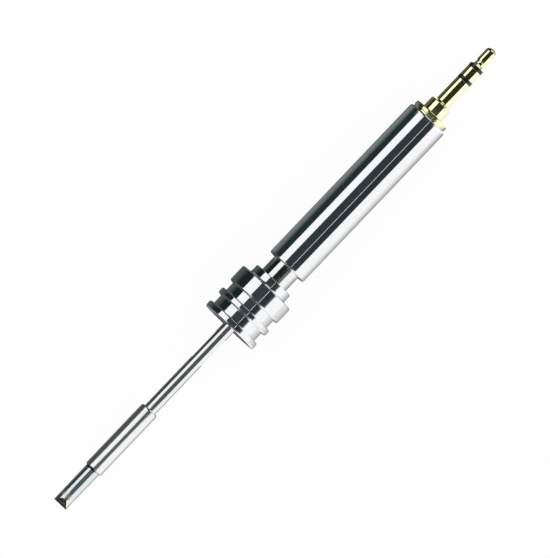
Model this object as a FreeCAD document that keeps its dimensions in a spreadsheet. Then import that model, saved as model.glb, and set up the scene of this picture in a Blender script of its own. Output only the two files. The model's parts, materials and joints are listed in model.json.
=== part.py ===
"""Soldering iron tip: a heater cartridge with a chisel bit, a ribbed collar, a plated barrel and a
three-contact plug. Lengths are millimetres.

Each piece is drawn along its own X axis, from the chisel edge at zero to the nose of the plug, and is
then laid down as the whole part rests: on the rear rim of the last collar ring and the rear rim of the
barrel, with the plug end a little lower. The origin is on the surface, under the middle of the part.
"""

import FreeCAD, Part
import math
import os
import re
import Sketcher

# Driving sizes, each written once.
SIZES = {
    # Chisel bit, of plated copper.
    "bit_reach": "7.28",  # edge to the front of the heater sleeve
    "bit_front_diameter": "2.40",
    "bit_diameter": "2.47",
    "bit_seat": "3.0",  # shank inside the heater sleeve
    "bit_shank_diameter": "2.16",
    "flat_length": "1.42",
    "edge_thickness": "0.24",
    "sensor_bore_diameter": "1.5",
    "sensor_bore_depth": "2.0",
    # Heater sleeve, a steel tube with a lip that grips the stem.
    "sleeve_length": "12.47",
    "sleeve_diameter": "2.97",
    "sleeve_front_chamfer": "0.15",
    "sleeve_rear_chamfer": "0.2",
    "sleeve_lip": "1.5",
    # Heater: a coil of resistance ribbon on a twin-bore ceramic core.
    "core_diameter": "1.36",
    "core_bore_diameter": "0.4",
    "ribbon_width": "0.4",
    "ribbon_thickness": "0.15",
    "coil_pitch": "0.7",
    "coil_length": "5.6",
    "coil_gap": "0.3",  # shank of the bit to the first turn
    # Leads inside the stem, in a twin-bore ceramic tube.
    "lead_diameter": "0.24",
    "lead_offset": "0.33",  # axis of the part to the axis of a lead
    "lead_tube_gap": "0.035",  # all round, inside the stem
    "lead_tube_tail": "1.1",  # beyond the end of the stem
    "seal_thickness": "1.0",
    "lead_bend_length": "5.0",
    # Stem, a thin steel tube that keeps the heat away from the handle.
    "stem_reach": "17.30",
    "stem_diameter": "2.10",
    "stem_wall": "0.15",
    "stem_projection": "0.5",  # beyond the front wall of the neck
    # Collar, turned with three rings.
    "ring_diameter": "9.73",
    "groove_depth": "0.66",
    "shoulder_step": "1.44",
    "ring_1_width": "1.14",
    "groove_1_width": "1.64",
    "ring_2_width": "1.06",
    "groove_2_width": "1.54",
    "ring_3_width": "2.97",
    "shoulder_width": "1.52",
    "ring_chamfer": "0.15",
    "shoulder_root": "0.3",  # cone at the foot of the shoulder
    "collar_socket": "2.0",  # depth of the seat for the neck
    # Neck, a tube that joins the collar to the barrel.
    "neck_reach": "2.77",
    "neck_diameter": "4.84",
    "neck_wall": "0.9",
    "neck_front_wall": "1.0",
    # Barrel, a plated tube with a closed front.
    "barrel_length": "31.15",
    "barrel_diameter": "6.82",
    "barrel_wall": "0.5",
    "barrel_front_wall": "1.2",
    "barrel_front_chamfer": "0.25",
    "barrel_rear_chamfer": "0.4",
    "liner_wall": "0.3",
    # Splices and wires inside the barrel.
    "splice_spacing": "0.3",  # between the two shrink sleeves
    "splice_gap": "0.5",  # bend of a lead to the splice
    "splice_length": "5.0",
    "splice_diameter": "1.1",
    "splice_stop": "0.2",  # between the lead and the wire inside
    "shrink_wall": "0.2",
    "shrink_overlap": "1.5",  # over the jacket of the wire
    "conductor_diameter": "0.4",
    "jacket_diameter": "0.9",
    "jacket_gap": "0.3",  # splice to the jacket
    "wire_straight": "1.0",  # beyond the shrink sleeve, before the bend
    "wire_bare_end": "2.7",
    "wire_tail": "1.2",  # straight end of the jacket, after the bend
    # Plug: sleeve, ring and tip contacts, with an insulator between each two.
    "spigot_length": "3.0",  # inside the barrel
    "flange_gap": "0.2",
    "flange_diameter": "6.1",
    "flange_width": "0.77",
    "flange_chamfer": "0.15",
    "plug_shoulder_diameter": "3.73",
    "plug_shoulder_length": "2.27",
    "plug_cone_length": "0.35",
    "plug_diameter": "2.5",
    "plug_sleeve_length": "4.56",
    "insulator_rear_width": "0.59",
    "ring_contact_width": "1.82",
    "insulator_front_width": "0.58",
    "tip_rear_diameter": "2.27",
    "tip_neck_diameter": "1.6",
    "tip_cone_length": "0.44",
    "tip_neck_length": "0.30",
    "tip_ramp_length": "0.35",
    "tip_head_diameter": "1.88",
    "tip_head_length": "2.56",
    "tip_nose_round": "0.72",
    "rod_diameter": "0.6",
    "insulator_wall": "0.175",
    "ring_tube_wall": "0.175",
    # Solder lugs and insulating washers on the back of the plug.
    "washer_thickness": "0.6",
    "lug_thickness": "0.3",
    "ring_lug_room": "0.59",  # rim of the ring lug to the liner
    "tab_width": "1.0",
    "tab_length": "2.1",
    "tab_gap": "0.1",  # tab of the ring lug to the washer beside it
    "rod_projection": "0.35",
    "solder_film": "0.03",
    "solder_length": "1.3",
    "solder_height": "0.3",  # over the conductor
    "solder_room": "0.41",  # solder on the tip lug to the liner
    # Clearance of each inner piece that slides into another.
    "clearance": "0.02",
}

# Places and sizes that follow from the driving sizes, as formulas. A place is a distance along the part.
PLACES = {
    "flat_end_radius": "bit_front_diameter / 2"
                       " + (bit_diameter - bit_front_diameter) / 2 * flat_length / bit_reach",
    "bit_rear": "bit_reach + bit_seat",
    "bore_bottom": "bit_rear - sensor_bore_depth",
    "sleeve_rear": "bit_reach + sleeve_length",
    "lip_front": "sleeve_rear - sleeve_lip",
    "bead_radius": "sensor_bore_diameter / 2 - lead_offset - clearance",
    "bead_middle": "bore_bottom + bead_radius",
    "bead_back": "bead_middle + bead_radius * 0.8",
    "coil_turns": "floor(coil_length / coil_pitch) + 0.5",
    "coil_radius": "core_diameter / 2 + clearance",
    "coil_outer_radius": "coil_radius + ribbon_thickness",
    "coil_front": "bit_rear + coil_gap",
    "coil_rear": "coil_front + coil_pitch * coil_turns",
    "core_front": "coil_front + ribbon_width / 2 + clearance",
    "core_rear": "coil_rear - ribbon_width / 2 - clearance",
    "lead_tube_front": "coil_rear + ribbon_width / 2 + clearance",
    "stem_bore_radius": "stem_diameter / 2 - stem_wall",
    "collar_front": "sleeve_rear + stem_reach",
    "ring_radius": "ring_diameter / 2",
    "groove_radius": "ring_radius - groove_depth",
    "shoulder_radius": "ring_radius - shoulder_step",
    "ring_1_rear": "collar_front + ring_1_width",
    "ring_2_front": "ring_1_rear + groove_1_width",
    "ring_2_rear": "ring_2_front + ring_2_width",
    "ring_3_front": "ring_2_rear + groove_2_width",
    "ring_3_rear": "ring_3_front + ring_3_width",
    "collar_rear": "ring_3_rear + shoulder_width",
    "socket_bottom": "collar_rear - collar_socket",
    "neck_wall_rear": "socket_bottom + neck_front_wall",
    "neck_bore_radius": "neck_diameter / 2 - neck_wall",
    "stem_rear": "neck_wall_rear + stem_projection",
    "lead_tube_rear": "stem_rear + lead_tube_tail",
    "seal_rear": "lead_tube_rear + seal_thickness",
    "barrel_front": "collar_rear + neck_reach",
    "barrel_wall_rear": "barrel_front + barrel_front_wall",
    "barrel_rear": "barrel_front + barrel_length",
    "barrel_bore_radius": "barrel_diameter / 2 - barrel_wall",
    "liner_radius": "barrel_bore_radius - clearance",
    "liner_bore_radius": "liner_radius - liner_wall",
    "lead_bend_end": "seal_rear + lead_bend_length",
    "lead_rear": "splice_front + splice_length / 2 - splice_stop / 2",
    "splice_offset": "splice_diameter / 2 + shrink_wall + splice_spacing / 2",
    "splice_front": "lead_bend_end + splice_gap",
    "splice_middle": "splice_front + splice_length / 2",
    "splice_rear": "splice_front + splice_length",
    "jacket_front": "splice_rear + jacket_gap",
    "shrink_rear": "jacket_front + shrink_overlap",
    "wire_bend_front": "shrink_rear + wire_straight",
    "contact_front": "barrel_rear - spigot_length",
    "ring_lug_rear": "contact_front - washer_thickness",
    "ring_lug_front": "ring_lug_rear - lug_thickness",
    "tip_lug_rear": "ring_lug_front - washer_thickness",
    "tip_lug_front": "tip_lug_rear - lug_thickness",
    "rod_front": "tip_lug_front - rod_projection",
    "wire_rear": "tip_lug_front - solder_film * 3",
    "jacket_rear": "wire_rear - wire_bare_end",
    "wire_bend_rear": "jacket_rear - wire_tail",
    "tip_tab_face": "liner_bore_radius - solder_room - solder_height - conductor_diameter - solder_film",
    "ring_lug_radius": "liner_bore_radius - ring_lug_room",
    "ring_tab_face": "ring_lug_radius - lug_thickness",
    "positive_end_offset": "tip_tab_face + solder_film + conductor_diameter / 2",
    "negative_end_offset": "ring_tab_face - solder_film - conductor_diameter / 2",
    "flange_front": "barrel_rear + flange_gap",
    "flange_rear": "flange_front + flange_width",
    "plug_shoulder_rear": "flange_rear + plug_shoulder_length",
    "plug_sleeve_rear": "plug_shoulder_rear + plug_sleeve_length",
    "ring_contact_front": "plug_sleeve_rear + insulator_rear_width",
    "ring_contact_rear": "ring_contact_front + ring_contact_width",
    "tip_front": "ring_contact_rear + insulator_front_width",
    "tip_neck_front": "tip_front + tip_cone_length",
    "tip_neck_rear": "tip_neck_front + tip_neck_length",
    "tip_head_front": "tip_neck_rear + tip_ramp_length",
    "plug_nose": "tip_head_front + tip_head_length",
    "rod_radius": "rod_diameter / 2",
    "front_tube_radius": "rod_radius + insulator_wall",
    "ring_tube_radius": "front_tube_radius + ring_tube_wall",
    "rear_tube_radius": "ring_tube_radius + insulator_wall + clearance * 2.5",
    # The part rests on the edge of the last ring's chamfer and on the edge of the barrel's.
    "rest_run": "barrel_rear - barrel_rear_chamfer - ring_3_rear + ring_chamfer",
    "rest_drop": "ring_radius - barrel_diameter / 2",
    "rest_tilt": "atan(rest_drop / rest_run)",
    "rest_height": "(barrel_rear - barrel_rear_chamfer) * sin(rest_tilt)"
                   " + barrel_diameter / 2 * cos(rest_tilt)",
    "rest_shift": "0 - plug_nose / 2 * cos(rest_tilt)",
}

doc = FreeCAD.newDocument("soldering_iron_tip")
sheet = doc.addObject("Spreadsheet::Sheet", "sizes")
for row, (alias, number) in enumerate(SIZES.items(), start=1):
    sheet.set(f"A{row}", alias)
    sheet.set(f"B{row}", number)
    sheet.setAlias(f"B{row}", alias)
doc.recompute()


def bind(formula):
    """Spell a formula out for the document: places give way to their formulas, sizes to their cells."""
    def spell(word):
        name = word.group()
        if name in PLACES:
            return f"({bind(PLACES[name])})"
        if name in SIZES:
            return f"sizes.{name}"
        return name
    return re.sub(r"[a-z][a-z_0-9]*", spell, formula)


def number(formula):
    """What a formula comes to with the sizes as they are now."""
    result = sheet.evalExpression(bind(formula))
    return float(getattr(result, "Value", result))


def new_body(name):
    """An empty piece that lies as the whole part rests."""
    body = doc.addObject("PartDesign::Body", name)
    body.Label = name
    body.Placement.Rotation = FreeCAD.Rotation(FreeCAD.Vector(0, 1, 0), 1)
    body.setExpression("Placement.Rotation.Angle", bind("rest_tilt"))
    body.setExpression("Placement.Base.x", bind("rest_shift"))
    body.setExpression("Placement.Base.z", bind("rest_height"))
    return body


def origin_plane(body, role):
    """One of the piece's own origin planes."""
    return next(feature for feature in body.Origin.OriginFeatures if feature.Role == role)


def new_sketch(body, name, role, offsets=()):
    """An empty sketch on one of the piece's origin planes, shifted by named sizes where it has to be."""
    sketch = body.newObject("Sketcher::SketchObject", name)
    sketch.AttachmentSupport = (origin_plane(body, role), [""])
    sketch.MapMode = "FlatFace"
    for direction, formula in offsets:
        sketch.setExpression(f"AttachmentOffset.Base.{direction}", bind(formula))
    return sketch


def place_point(sketch, geometry, point, across, up):
    """Fix a point of the sketch at two formulas, measured from the origin."""
    for kind, axis, formula in (("DistanceX", -2, across), ("DistanceY", -1, up)):
        size = number(formula)
        if abs(size) < 1e-9:
            sketch.addConstraint(Sketcher.Constraint("PointOnObject", geometry, point, axis))
            continue
        index = sketch.addConstraint(Sketcher.Constraint(kind, -1, 1, geometry, point, size))
        sketch.setExpression(f"Constraints[{index}]", bind(formula))


def draw_outline(sketch, corners):
    """A closed outline of straight edges through corners that are given as formulas."""
    points = [FreeCAD.Vector(number(across), number(up), 0) for across, up in corners]
    for index, point in enumerate(points):
        following = points[(index + 1) % len(points)]
        sketch.addGeometry(Part.LineSegment(point, following), False)
    previous = len(corners) - 1
    for index, (across, up) in enumerate(corners):
        sketch.addConstraint(Sketcher.Constraint("Coincident", previous, 2, index, 1))
        place_point(sketch, index, 1, across, up)
        previous = index


def draw_circle(sketch, across, up, radius):
    """A circle whose middle and radius are given as formulas."""
    middle = FreeCAD.Vector(number(across), number(up), 0)
    circle = sketch.addGeometry(Part.Circle(middle, FreeCAD.Vector(0, 0, 1), number(radius)), False)
    place_point(sketch, circle, 3, across, up)
    index = sketch.addConstraint(Sketcher.Constraint("Radius", circle, number(radius)))
    sketch.setExpression(f"Constraints[{index}]", bind(radius))


def revolve(body, corners, offsets=()):
    """Turn an outline about the axis of the part, or about a line that runs beside it."""
    sketch = new_sketch(body, f"{body.Name}_outline", "XY_Plane", offsets)
    draw_outline(sketch, corners)
    turning = body.newObject("PartDesign::Revolution", f"{body.Name}_turning")
    turning.Profile = sketch
    turning.ReferenceAxis = (sketch, ["H_Axis"])
    turning.Angle = 360
    sketch.Visibility = False
    doc.recompute()
    return turning


def turned(name, corners, offsets=()):
    """A piece that is turned from one outline."""
    body = new_body(name)
    revolve(body, corners, offsets)
    return body


def tube(name, front, rear, outer_radius, inner_radius, offsets=()):
    """A plain tube between two places."""
    corners = [(front, inner_radius), (front, outer_radius), (rear, outer_radius), (rear, inner_radius)]
    return turned(name, corners, offsets)


def rims(feature, wanted):
    """Names of the round edges that lie at the wanted places and have the wanted radii."""
    names = []
    for place, radius in wanted:
        at, size = number(place), number(radius)
        found = [
            f"Edge{index}"
            for index, edge in enumerate(feature.Shape.Edges, start=1)
            if isinstance(edge.Curve, Part.Circle)
            and abs(edge.Curve.Radius - size) < 1e-5
            and abs(edge.Curve.Center.x - at) < 1e-5
        ]
        if not found:
            raise ValueError(f"no rim on {feature.Name} at {place}, radius {radius}")
        names += found
    return names


def round_rims(body, wanted, radius):
    """Round the named rims of the piece as it is so far."""
    base = body.Tip
    fillet = body.newObject("PartDesign::Fillet", f"{body.Name}_rounds")
    fillet.Base = (base, rims(base, wanted))
    fillet.setExpression("Radius", bind(radius))
    doc.recompute()


def chamfer_rims(body, wanted, size):
    """Chamfer the named rims of the piece as it is so far."""
    base = body.Tip
    chamfer = body.newObject("PartDesign::Chamfer", f"{body.Name}_chamfers")
    chamfer.Base = (base, rims(base, wanted))
    chamfer.setExpression("Size", bind(size))
    doc.recompute()


def draw_chain(sketch, points):
    """Straight edges from each point to the next, given as numbers."""
    vectors = [FreeCAD.Vector(across, up, 0) for across, up in points]
    for here, following in zip(vectors, vectors[1:]):
        sketch.addGeometry(Part.LineSegment(here, following), False)


def drill(body, role, across, up, diameter, name):
    """Bore a round hole right through the piece, square to an origin plane."""
    before = body.Tip.Shape.Volume
    sketch = new_sketch(body, f"{body.Name}_{name}_circle", role)
    draw_circle(sketch, across, up, f"{diameter} / 2")
    pocket = body.newObject("PartDesign::Pocket", f"{body.Name}_{name}")
    pocket.Profile = sketch
    pocket.Type = "ThroughAll"
    pocket.Midplane = True
    sketch.Visibility = False
    doc.recompute()
    if pocket.Shape.Volume >= before:
        raise ValueError(f"{name} takes nothing off {body.Name}")


def s_bend(body, name, places, offsets):
    """A path in one plane: straight, then two equal arcs that shift it sideways, then straight again."""
    start, bend_start, bend_end, end = (number(place) for place in places)
    low, high = (number(offset) for offset in offsets)
    run, rise = bend_end - bend_start, high - low
    radius = (run ** 2 + rise ** 2) / (4 * abs(rise))
    side = math.copysign(1, rise)
    turn = math.asin(run / 2 / radius)
    sketch = new_sketch(body, name, "XY_Plane")
    vector = FreeCAD.Vector
    sketch.addGeometry(Part.LineSegment(vector(start, low, 0), vector(bend_start, low, 0)), False)
    for x, middle, up in ((bend_start, low + side * radius, 1), (bend_end, high - side * radius, -1)):
        circle = Part.Circle(vector(x, middle, 0), vector(0, 0, 1), radius)
        square_on = -side * up * math.pi / 2
        if side > 0:
            first, last = square_on, square_on + turn
        else:
            first, last = square_on - turn, square_on
        sketch.addGeometry(Part.ArcOfCircle(circle, first, last), False)
    sketch.addGeometry(Part.LineSegment(vector(bend_end, high, 0), vector(end, high, 0)), False)
    leaving, arriving = (1, 2) if side > 0 else (2, 1)
    sketch.addConstraint(Sketcher.Constraint("Tangent", 0, 2, 1, leaving))
    sketch.addConstraint(Sketcher.Constraint("Tangent", 1, arriving, 2, arriving))
    sketch.addConstraint(Sketcher.Constraint("Tangent", 2, leaving, 3, 1))
    sketch.addConstraint(Sketcher.Constraint("Equal", 1, 2))
    sketch.addConstraint(Sketcher.Constraint("Horizontal", 0))
    sketch.addConstraint(Sketcher.Constraint("Horizontal", 3))
    place_point(sketch, 0, 1, places[0], offsets[0])
    place_point(sketch, 3, 2, places[3], offsets[1])
    for geometry, point, place in ((0, 2, places[1]), (3, 1, places[2])):
        distance = Sketcher.Constraint("DistanceX", -1, 1, geometry, point, number(place))
        index = sketch.addConstraint(distance)
        sketch.setExpression(f"Constraints[{index}]", bind(place))
    print(f"{body.Name} {name}: bend radius {radius:.1f} mm, wire {2 * turn:.3f} rad of turn")
    return sketch


def pipe(body, name, places, offsets, radius):
    """Sweep a round section along a path with one S bend."""
    path = s_bend(body, f"{body.Name}_{name}_path", places, offsets)
    section = new_sketch(body, f"{body.Name}_{name}_section", "YZ_Plane", [("z", places[0])])
    draw_circle(section, offsets[0], "0", radius)
    doc.recompute()
    sweep = body.newObject("PartDesign::AdditivePipe", f"{body.Name}_{name}")
    sweep.Profile = section
    sweep.Spine = path
    path.Visibility = False
    section.Visibility = False
    doc.recompute()


def chisel_bit():
    """The bit: a tapered copper rod with a shank, and two hollow flats that meet in the chisel edge."""
    body = new_body("chisel_bit")
    revolve(body, [
        ("0", "0"),
        ("0", "bit_front_diameter / 2"),
        ("bit_reach", "bit_diameter / 2"),
        ("bit_reach", "bit_shank_diameter / 2"),
        ("bit_rear", "bit_shank_diameter / 2"),
        ("bit_rear", "sensor_bore_diameter / 2"),
        ("bore_bottom", "sensor_bore_diameter / 2"),
        ("bore_bottom", "0"),
    ])
    solid = body.Tip.Shape.Volume
    sketch = new_sketch(body, "chisel_bit_flat", "XZ_Plane")
    reach, rise = number("flat_length"), number("flat_end_radius")
    half = number("edge_thickness / 2")
    radius = (reach ** 2 + (rise - half) ** 2) / (2 * (rise - half))
    middle = FreeCAD.Vector(reach, rise - radius, 0)
    circle = Part.Circle(middle, FreeCAD.Vector(0, 0, 1), radius)
    lower = math.pi - math.asin((half - rise + radius) / radius)
    arc = sketch.addGeometry(Part.ArcOfCircle(circle, math.pi / 2, lower), False)
    draw_chain(sketch, [(reach, rise), (reach, 2 * rise), (-rise, 2 * rise), (-rise, half), (0, half)])
    sketch.addConstraint(Sketcher.Constraint("Coincident", arc, 1, 1, 1))
    for line in (1, 2, 3):
        sketch.addConstraint(Sketcher.Constraint("Coincident", line, 2, line + 1, 1))
    sketch.addConstraint(Sketcher.Constraint("Coincident", 4, 2, arc, 2))
    sketch.addConstraint(Sketcher.Constraint("Vertical", arc, 3, arc, 1))
    place_point(sketch, 1, 1, "flat_length", "flat_end_radius")
    place_point(sketch, 2, 1, "flat_length", "flat_end_radius * 2")
    place_point(sketch, 3, 1, "0 - flat_end_radius", "flat_end_radius * 2")
    place_point(sketch, 4, 1, "0 - flat_end_radius", "edge_thickness / 2")
    place_point(sketch, 4, 2, "0", "edge_thickness / 2")
    flat = body.newObject("PartDesign::Pocket", "chisel_bit_upper_flat")
    flat.Profile = sketch
    flat.Type = "ThroughAll"
    flat.Midplane = True
    sketch.Visibility = False
    doc.recompute()
    mirror = body.newObject("PartDesign::Mirrored", "chisel_bit_lower_flat")
    mirror.Originals = [flat]
    mirror.MirrorPlane = (origin_plane(body, "XY_Plane"), [""])
    body.Tip = mirror
    doc.recompute()
    upper_cut = solid - flat.Shape.Volume
    both_cuts = solid - mirror.Shape.Volume
    if upper_cut <= 0 or abs(both_cuts / upper_cut - 2) > 0.01:
        raise ValueError("the flats of the bit aren't both cut")
    return body


def heater_sleeve():
    """The steel sleeve round the heater, with a lip behind that holds the stem."""
    body = turned("heater_sleeve", [
        ("bit_reach", "bit_shank_diameter / 2"),
        ("bit_reach", "sleeve_diameter / 2"),
        ("sleeve_rear", "sleeve_diameter / 2"),
        ("sleeve_rear", "stem_diameter / 2"),
        ("lip_front", "stem_diameter / 2"),
        ("lip_front", "bit_shank_diameter / 2"),
    ])
    chamfer_rims(body, [("bit_reach", "sleeve_diameter / 2")], "sleeve_front_chamfer")
    chamfer_rims(body, [("sleeve_rear", "sleeve_diameter / 2")], "sleeve_rear_chamfer")
    return body


def heater_coil():
    """The resistance ribbon: a helix on the core, with a tail at each end that turns in to its lead."""
    body = new_body("heater_coil")
    section = new_sketch(body, "heater_coil_section", "XY_Plane")
    near, far = "coil_front - ribbon_width / 2", "coil_front + ribbon_width / 2"
    draw_outline(section, [(near, "coil_radius"), (near, "coil_outer_radius"),
                           (far, "coil_outer_radius"), (far, "coil_radius")])
    doc.recompute()
    helix = body.newObject("PartDesign::AdditiveHelix", "heater_coil_turns")
    helix.Profile = section
    helix.ReferenceAxis = (section, ["H_Axis"])
    helix.Mode = 1
    helix.setExpression("Pitch", bind("coil_pitch"))
    helix.setExpression("Turns", bind("coil_turns"))
    section.Visibility = False
    doc.recompute()
    for name, place, side in (("front", "coil_front", 1), ("rear", "coil_rear", -1)):
        level = [("z", "0 - ribbon_thickness / 2")]
        sketch = new_sketch(body, f"heater_coil_{name}_tail_outline", "XY_Plane", level)
        near, far = f"{place} - ribbon_width / 2", f"{place} + ribbon_width / 2"
        root, end = f"{side} * coil_outer_radius", f"{side} * (lead_offset + lead_diameter / 2)"
        draw_outline(sketch, [(near, end), (near, root), (far, root), (far, end)])
        tail = body.newObject("PartDesign::Pad", f"heater_coil_{name}_tail")
        tail.Profile = sketch
        tail.setExpression("Length", bind("ribbon_thickness"))
        sketch.Visibility = False
        doc.recompute()
    return body


def sensor_bead():
    """The welded bead that feels the heat in the bit's bore, flat where the lead joins it."""
    body = new_body("sensor_bead")
    sketch = new_sketch(body, "sensor_bead_outline", "XY_Plane", [("y", "lead_offset")])
    radius = number("bead_radius")
    middle = number("bead_middle")
    flat_turn = math.acos(0.8)
    circle = Part.Circle(FreeCAD.Vector(middle, 0, 0), FreeCAD.Vector(0, 0, 1), radius)
    sketch.addGeometry(Part.ArcOfCircle(circle, flat_turn, math.pi), False)
    back = middle + 0.8 * radius
    draw_chain(sketch, [(middle - radius, 0), (back, 0), (back, 0.6 * radius)])
    sketch.addConstraint(Sketcher.Constraint("Coincident", 0, 2, 1, 1))
    sketch.addConstraint(Sketcher.Constraint("Coincident", 1, 2, 2, 1))
    sketch.addConstraint(Sketcher.Constraint("Coincident", 2, 2, 0, 1))
    sketch.addConstraint(Sketcher.Constraint("Vertical", 2))
    place_point(sketch, 0, 3, "bead_middle", "0")
    place_point(sketch, 1, 2, "bead_back", "0")
    place_point(sketch, 1, 1, "bore_bottom", "0")
    turning = body.newObject("PartDesign::Revolution", "sensor_bead_turning")
    turning.Profile = sketch
    turning.ReferenceAxis = (sketch, ["H_Axis"])
    turning.Angle = 360
    sketch.Visibility = False
    doc.recompute()
    return body


def lead(name, front, side):
    """A bare lead from the heater to its splice, bent out beyond the seal."""
    body = new_body(name)
    places = (front, "seal_rear", "lead_bend_end", "lead_rear")
    offsets = (f"{side} * lead_offset", f"{side} * splice_offset")
    pipe(body, "wire", places, offsets, "lead_diameter / 2")
    return body


def twin_bore(name, front, rear, radius, bore):
    """A round ceramic or glass piece with a bore for each lead."""
    body = turned(name, [(front, "0"), (front, radius), (rear, radius), (rear, "0")])
    drill(body, "YZ_Plane", "lead_offset", "0", bore, "positive_bore")
    drill(body, "YZ_Plane", "0 - lead_offset", "0", bore, "negative_bore")
    return body


def collar():
    """The turned collar: three rings with two grooves, then a shoulder with the neck's socket in it."""
    body = turned("collar", [
        ("collar_front", "stem_diameter / 2"),
        ("collar_front", "ring_radius"),
        ("ring_1_rear", "ring_radius"),
        ("ring_1_rear", "groove_radius"),
        ("ring_2_front", "groove_radius"),
        ("ring_2_front", "ring_radius"),
        ("ring_2_rear", "ring_radius"),
        ("ring_2_rear", "groove_radius"),
        ("ring_3_front", "groove_radius"),
        ("ring_3_front", "ring_radius"),
        ("ring_3_rear", "ring_radius"),
        ("ring_3_rear", "shoulder_radius"),
        ("collar_rear", "shoulder_radius"),
        ("collar_rear", "neck_diameter / 2"),
        ("socket_bottom", "neck_diameter / 2"),
        ("socket_bottom", "stem_diameter / 2"),
    ])
    edges = ("collar_front", "ring_1_rear", "ring_2_front", "ring_2_rear", "ring_3_front", "ring_3_rear")
    chamfer_rims(body, [(place, "ring_radius") for place in edges], "ring_chamfer")
    chamfer_rims(body, [("ring_3_rear", "shoulder_radius")], "shoulder_root")
    chamfer_rims(body, [("collar_rear", "shoulder_radius")], "ring_chamfer")
    return body


def neck_tube():
    """The tube between collar and barrel, closed in front apart from the bore for the stem."""
    return turned("neck_tube", [
        ("socket_bottom", "stem_diameter / 2"),
        ("socket_bottom", "neck_diameter / 2"),
        ("barrel_wall_rear", "neck_diameter / 2"),
        ("barrel_wall_rear", "neck_bore_radius"),
        ("neck_wall_rear", "neck_bore_radius"),
        ("neck_wall_rear", "stem_diameter / 2"),
    ])


def barrel():
    """The plated barrel, bored for the neck in front and open behind for the plug."""
    body = turned("barrel", [
        ("barrel_front", "neck_diameter / 2"),
        ("barrel_front", "barrel_diameter / 2"),
        ("barrel_rear", "barrel_diameter / 2"),
        ("barrel_rear", "barrel_bore_radius"),
        ("barrel_wall_rear", "barrel_bore_radius"),
        ("barrel_wall_rear", "neck_diameter / 2"),
    ])
    chamfer_rims(body, [("barrel_front", "barrel_diameter / 2")], "barrel_front_chamfer")
    chamfer_rims(body, [("barrel_rear", "barrel_diameter / 2")], "barrel_rear_chamfer")
    return body


def splice(name, side):
    """A crimp that joins a thin lead to a thicker wire, so its bore has a step."""
    corners = [
        ("splice_front", "lead_diameter / 2"),
        ("splice_front", "splice_diameter / 2"),
        ("splice_rear", "splice_diameter / 2"),
        ("splice_rear", "conductor_diameter / 2"),
        ("splice_middle", "conductor_diameter / 2"),
        ("splice_middle", "lead_diameter / 2"),
    ]
    body = turned(name, corners, [("y", f"{side} * splice_offset")])
    chamfer_rims(body, [("splice_front", "splice_diameter / 2"), ("splice_rear", "splice_diameter / 2")],
                 "splice_diameter / 10")
    return body


def wire(name, side, end_offset):
    """An insulated wire from its splice to its lug, bare at both ends."""
    body = new_body(name)
    offsets = (f"{side} * splice_offset", f"{side} * {end_offset}")
    bare = ("splice_middle + splice_stop / 2", "wire_bend_front", "wire_bend_rear", "wire_rear")
    pipe(body, "conductor", bare, offsets, "conductor_diameter / 2")
    covered = ("jacket_front", "wire_bend_front", "wire_bend_rear", "jacket_rear")
    pipe(body, "jacket", covered, offsets, "jacket_diameter / 2")
    return body


def sleeve_contact():
    """The earthed contact: spigot in the barrel, flange, shoulder with a cone, and the plug's sleeve."""
    body = turned("sleeve_contact", [
        ("contact_front", "rear_tube_radius"),
        ("contact_front", "barrel_bore_radius"),
        ("flange_front", "barrel_bore_radius"),
        ("flange_front", "flange_diameter / 2"),
        ("flange_rear", "flange_diameter / 2"),
        ("flange_rear", "plug_shoulder_diameter / 2"),
        ("plug_shoulder_rear - plug_cone_length", "plug_shoulder_diameter / 2"),
        ("plug_shoulder_rear", "plug_diameter / 2"),
        ("plug_sleeve_rear", "plug_diameter / 2"),
        ("plug_sleeve_rear", "rear_tube_radius"),
    ])
    chamfer_rims(body, [("flange_rear", "flange_diameter / 2")], "flange_chamfer")
    return body


def insulator_rear():
    """The black insulator between sleeve and ring, with the tube that lines the sleeve."""
    return turned("insulator_rear", [
        ("contact_front", "ring_tube_radius"),
        ("contact_front", "rear_tube_radius"),
        ("plug_sleeve_rear", "rear_tube_radius"),
        ("plug_sleeve_rear", "plug_diameter / 2"),
        ("ring_contact_front", "plug_diameter / 2"),
        ("ring_contact_front", "ring_tube_radius"),
    ])


def ring_contact():
    """The middle contact, on a tube that reaches back to its lug."""
    return turned("ring_contact", [
        ("ring_lug_front", "front_tube_radius"),
        ("ring_lug_front", "ring_tube_radius"),
        ("ring_contact_front", "ring_tube_radius"),
        ("ring_contact_front", "plug_diameter / 2"),
        ("ring_contact_rear", "plug_diameter / 2"),
        ("ring_contact_rear", "front_tube_radius"),
    ])


def insulator_front():
    """The black insulator between ring and tip, with the tube that lines the ring."""
    return turned("insulator_front", [
        ("ring_lug_front", "rod_radius"),
        ("ring_lug_front", "front_tube_radius"),
        ("ring_contact_rear", "front_tube_radius"),
        ("ring_contact_rear", "plug_diameter / 2"),
        ("tip_front", "plug_diameter / 2"),
        ("tip_front", "rod_radius"),
    ])


def tip_contact():
    """The front contact: a cone, a neck and a round-nosed head, on a rod that reaches back to its lug."""
    body = turned("tip_contact", [
        ("rod_front", "0"),
        ("rod_front", "rod_radius"),
        ("tip_front", "rod_radius"),
        ("tip_front", "tip_rear_diameter / 2"),
        ("tip_neck_front", "tip_neck_diameter / 2"),
        ("tip_neck_rear", "tip_neck_diameter / 2"),
        ("tip_head_front", "tip_head_diameter / 2"),
        ("plug_nose", "tip_head_diameter / 2"),
        ("plug_nose", "0"),
    ])
    round_rims(body, [("plug_nose", "tip_head_diameter / 2")], "tip_nose_round")
    return body


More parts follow.
